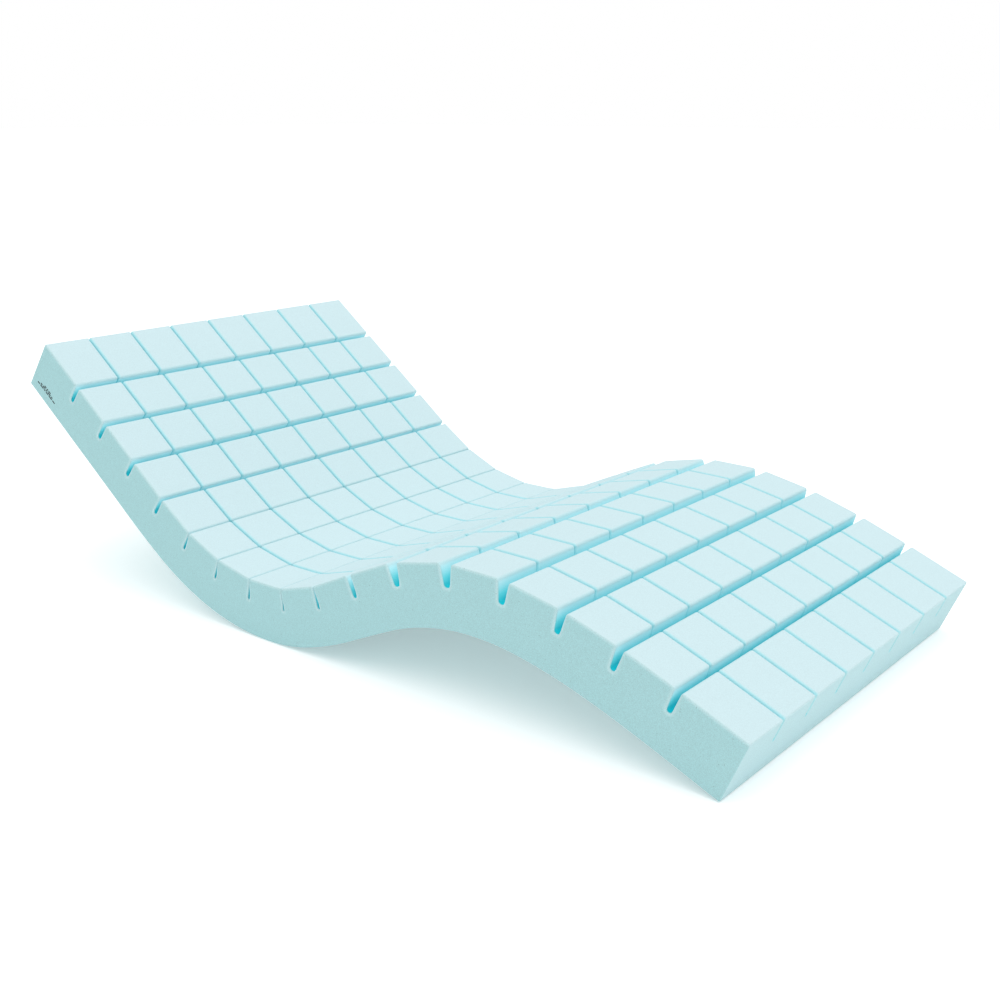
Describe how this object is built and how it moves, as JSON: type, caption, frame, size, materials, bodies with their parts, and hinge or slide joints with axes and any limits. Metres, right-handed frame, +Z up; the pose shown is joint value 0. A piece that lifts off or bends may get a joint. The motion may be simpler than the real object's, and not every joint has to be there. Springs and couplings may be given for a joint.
{
  "type": "pressure relief mattress core",
  "caption": "Bare castellated foam mattress core lying in an S curve, its cell rows joined by bending foam webs.",
  "frame": {"origin": "at floor level, under the middle of the bounding box, in the curved rest pose", "axes": "+X from the raised head end to the foot end, +Y across the mattress, +Z up"},
  "size_m": [1.8218, 0.9, 0.519],
  "materials": {
    "foam": "open-cell polyurethane foam, pale aqua, fully matt, fine even pores",
    "foam_web": "the same open-cell polyurethane foam, seen at the bottom of a slot, matt"
  },
  "bodies": {
    "row_01": {"cell_row_01": "foam", "hinge_web_01": "foam_web"},
    "row_02": {"cell_row_02": "foam", "hinge_web_02": "foam_web"},
    "row_03": {"cell_row_03": "foam", "hinge_web_03": "foam_web"},
    "row_04": {"cell_row_04": "foam", "hinge_web_04": "foam_web"},
    "row_05": {"cell_row_05": "foam", "hinge_web_05": "foam_web"},
    "row_06": {"cell_row_06": "foam", "hinge_web_06": "foam_web"},
    "row_07": {"cell_row_07": "foam", "hinge_web_07": "foam_web"},
    "row_08": {"cell_row_08": "foam"},
    "row_09": {"cell_row_09": "foam", "hinge_web_08": "foam_web"},
    "row_10": {"cell_row_10": "foam", "hinge_web_09": "foam_web"},
    "row_11": {"cell_row_11": "foam", "hinge_web_10": "foam_web"},
    "row_12": {"cell_row_12": "foam", "hinge_web_11": "foam_web"},
    "row_13": {"cell_row_13": "foam", "hinge_web_12": "foam_web"},
    "row_14": {"cell_row_14": "foam", "hinge_web_13": "foam_web"},
    "row_15": {"cell_row_15": "foam", "hinge_web_14": "foam_web"},
    "row_16": {"cell_row_16": "foam", "hinge_web_15": "foam_web"},
    "row_17": {"cell_row_17": "foam", "hinge_web_16": "foam_web"}
  },
  "joints": [
    {"name": "web_01_bend", "type": "hinge", "parent": "row_02", "child": "row_01", "pos_m": [-0.78092, 0, 0.37351], "axis": [0, 1, 0], "range_deg": [0, 8], "deforming": ["hinge_web_01"]},
    {"name": "web_02_bend", "type": "hinge", "parent": "row_03", "child": "row_02", "pos_m": [-0.69207, 0, 0.30533], "axis": [0, 1, 0], "range_deg": [0, 8], "deforming": ["hinge_web_02"]},
    {"name": "pillow_bend", "type": "hinge", "parent": "row_04", "child": "row_03", "pos_m": [-0.60321, 0, 0.23715], "axis": [0, 1, 0], "range_deg": [0, 8], "deforming": ["hinge_web_03"]},
    {"name": "web_04_bend", "type": "hinge", "parent": "row_05", "child": "row_04", "pos_m": [-0.51435, 0, 0.16897], "axis": [0, 1, 0], "range_deg": [-3.5, 0], "deforming": ["hinge_web_04"]},
    {"name": "web_05_bend", "type": "hinge", "parent": "row_06", "child": "row_05", "pos_m": [-0.4215, 0, 0.10634], "axis": [0, 1, 0], "range_deg": [-10, 0], "deforming": ["hinge_web_05"]},
    {"name": "web_06_bend", "type": "hinge", "parent": "row_07", "child": "row_06", "pos_m": [-0.31918, 0, 0.06079], "axis": [0, 1, 0], "range_deg": [-12, 0], "deforming": ["hinge_web_06"]},
    {"name": "web_07_bend", "type": "hinge", "parent": "row_08", "child": "row_07", "pos_m": [-0.20963, 0, 0.0375], "axis": [0, 1, 0], "range_deg": [-12, 0], "deforming": ["hinge_web_07"]},
    {"name": "seat_bend", "type": "hinge", "parent": "row_08", "child": "row_09", "pos_m": [-0.09763, 0, 0.0375], "axis": [0, -1, 0], "range_deg": [-16, 0], "deforming": ["hinge_web_08"]},
    {"name": "web_09_bend", "type": "hinge", "parent": "row_09", "child": "row_10", "pos_m": [0.01003, 0, 0.06837], "axis": [0, -1, 0], "range_deg": [-9, 0], "deforming": ["hinge_web_09"]},
    {"name": "web_10_bend", "type": "hinge", "parent": "row_10", "child": "row_11", "pos_m": [0.11153, 0, 0.11571], "axis": [0, 1, 0], "range_deg": [-1, 0.39], "deforming": ["hinge_web_10"]},
    {"name": "web_11_bend", "type": "hinge", "parent": "row_11", "child": "row_12", "pos_m": [0.21385, 0, 0.16126], "axis": [0, 1, 0], "range_deg": [-12, 4.62], "deforming": ["hinge_web_11"]},
    {"name": "knee_bend", "type": "hinge", "parent": "row_12", "child": "row_13", "pos_m": [0.3234, 0, 0.18454], "axis": [0, 1, 0], "range_deg": [-13, 5], "deforming": ["hinge_web_12"]},
    {"name": "web_13_bend", "type": "hinge", "parent": "row_13", "child": "row_14", "pos_m": [0.43539, 0, 0.18259], "axis": [0, 1, 0], "range_deg": [-10.5, 4.04], "deforming": ["hinge_web_13"]},
    {"name": "web_14_bend", "type": "hinge", "parent": "row_14", "child": "row_15", "pos_m": [0.54514, 0, 0.16026], "axis": [0, 1, 0], "range_deg": [-6, 2.31], "deforming": ["hinge_web_14"]},
    {"name": "web_15_bend", "type": "hinge", "parent": "row_15", "child": "row_16", "pos_m": [0.65196, 0, 0.12658], "axis": [0, 1, 0], "range_deg": [-3.5, 1.35], "deforming": ["hinge_web_15"]},
    {"name": "web_16_bend", "type": "hinge", "parent": "row_16", "child": "row_17", "pos_m": [0.75652, 0, 0.08644], "axis": [0, 1, 0], "range_deg": [-1.5, 0.58], "deforming": ["hinge_web_16"]}
  ],
  "couplings": [
    {"joint": "web_01_bend", "follows": "pillow_bend", "ratio": 1},
    {"joint": "web_02_bend", "follows": "pillow_bend", "ratio": 1},
    {"joint": "web_04_bend", "follows": "seat_bend", "ratio": 0.21875},
    {"joint": "web_05_bend", "follows": "seat_bend", "ratio": 0.625},
    {"joint": "web_06_bend", "follows": "seat_bend", "ratio": 0.75},
    {"joint": "web_07_bend", "follows": "seat_bend", "ratio": 0.75},
    {"joint": "web_09_bend", "follows": "seat_bend", "ratio": 0.5625},
    {"joint": "web_10_bend", "follows": "knee_bend", "ratio": 0.076923},
    {"joint": "web_11_bend", "follows": "knee_bend", "ratio": 0.92308},
    {"joint": "web_13_bend", "follows": "knee_bend", "ratio": 0.80769},
    {"joint": "web_14_bend", "follows": "knee_bend", "ratio": 0.46154},
    {"joint": "web_15_bend", "follows": "knee_bend", "ratio": 0.26923},
    {"joint": "web_16_bend", "follows": "knee_bend", "ratio": 0.11538}
  ]
}
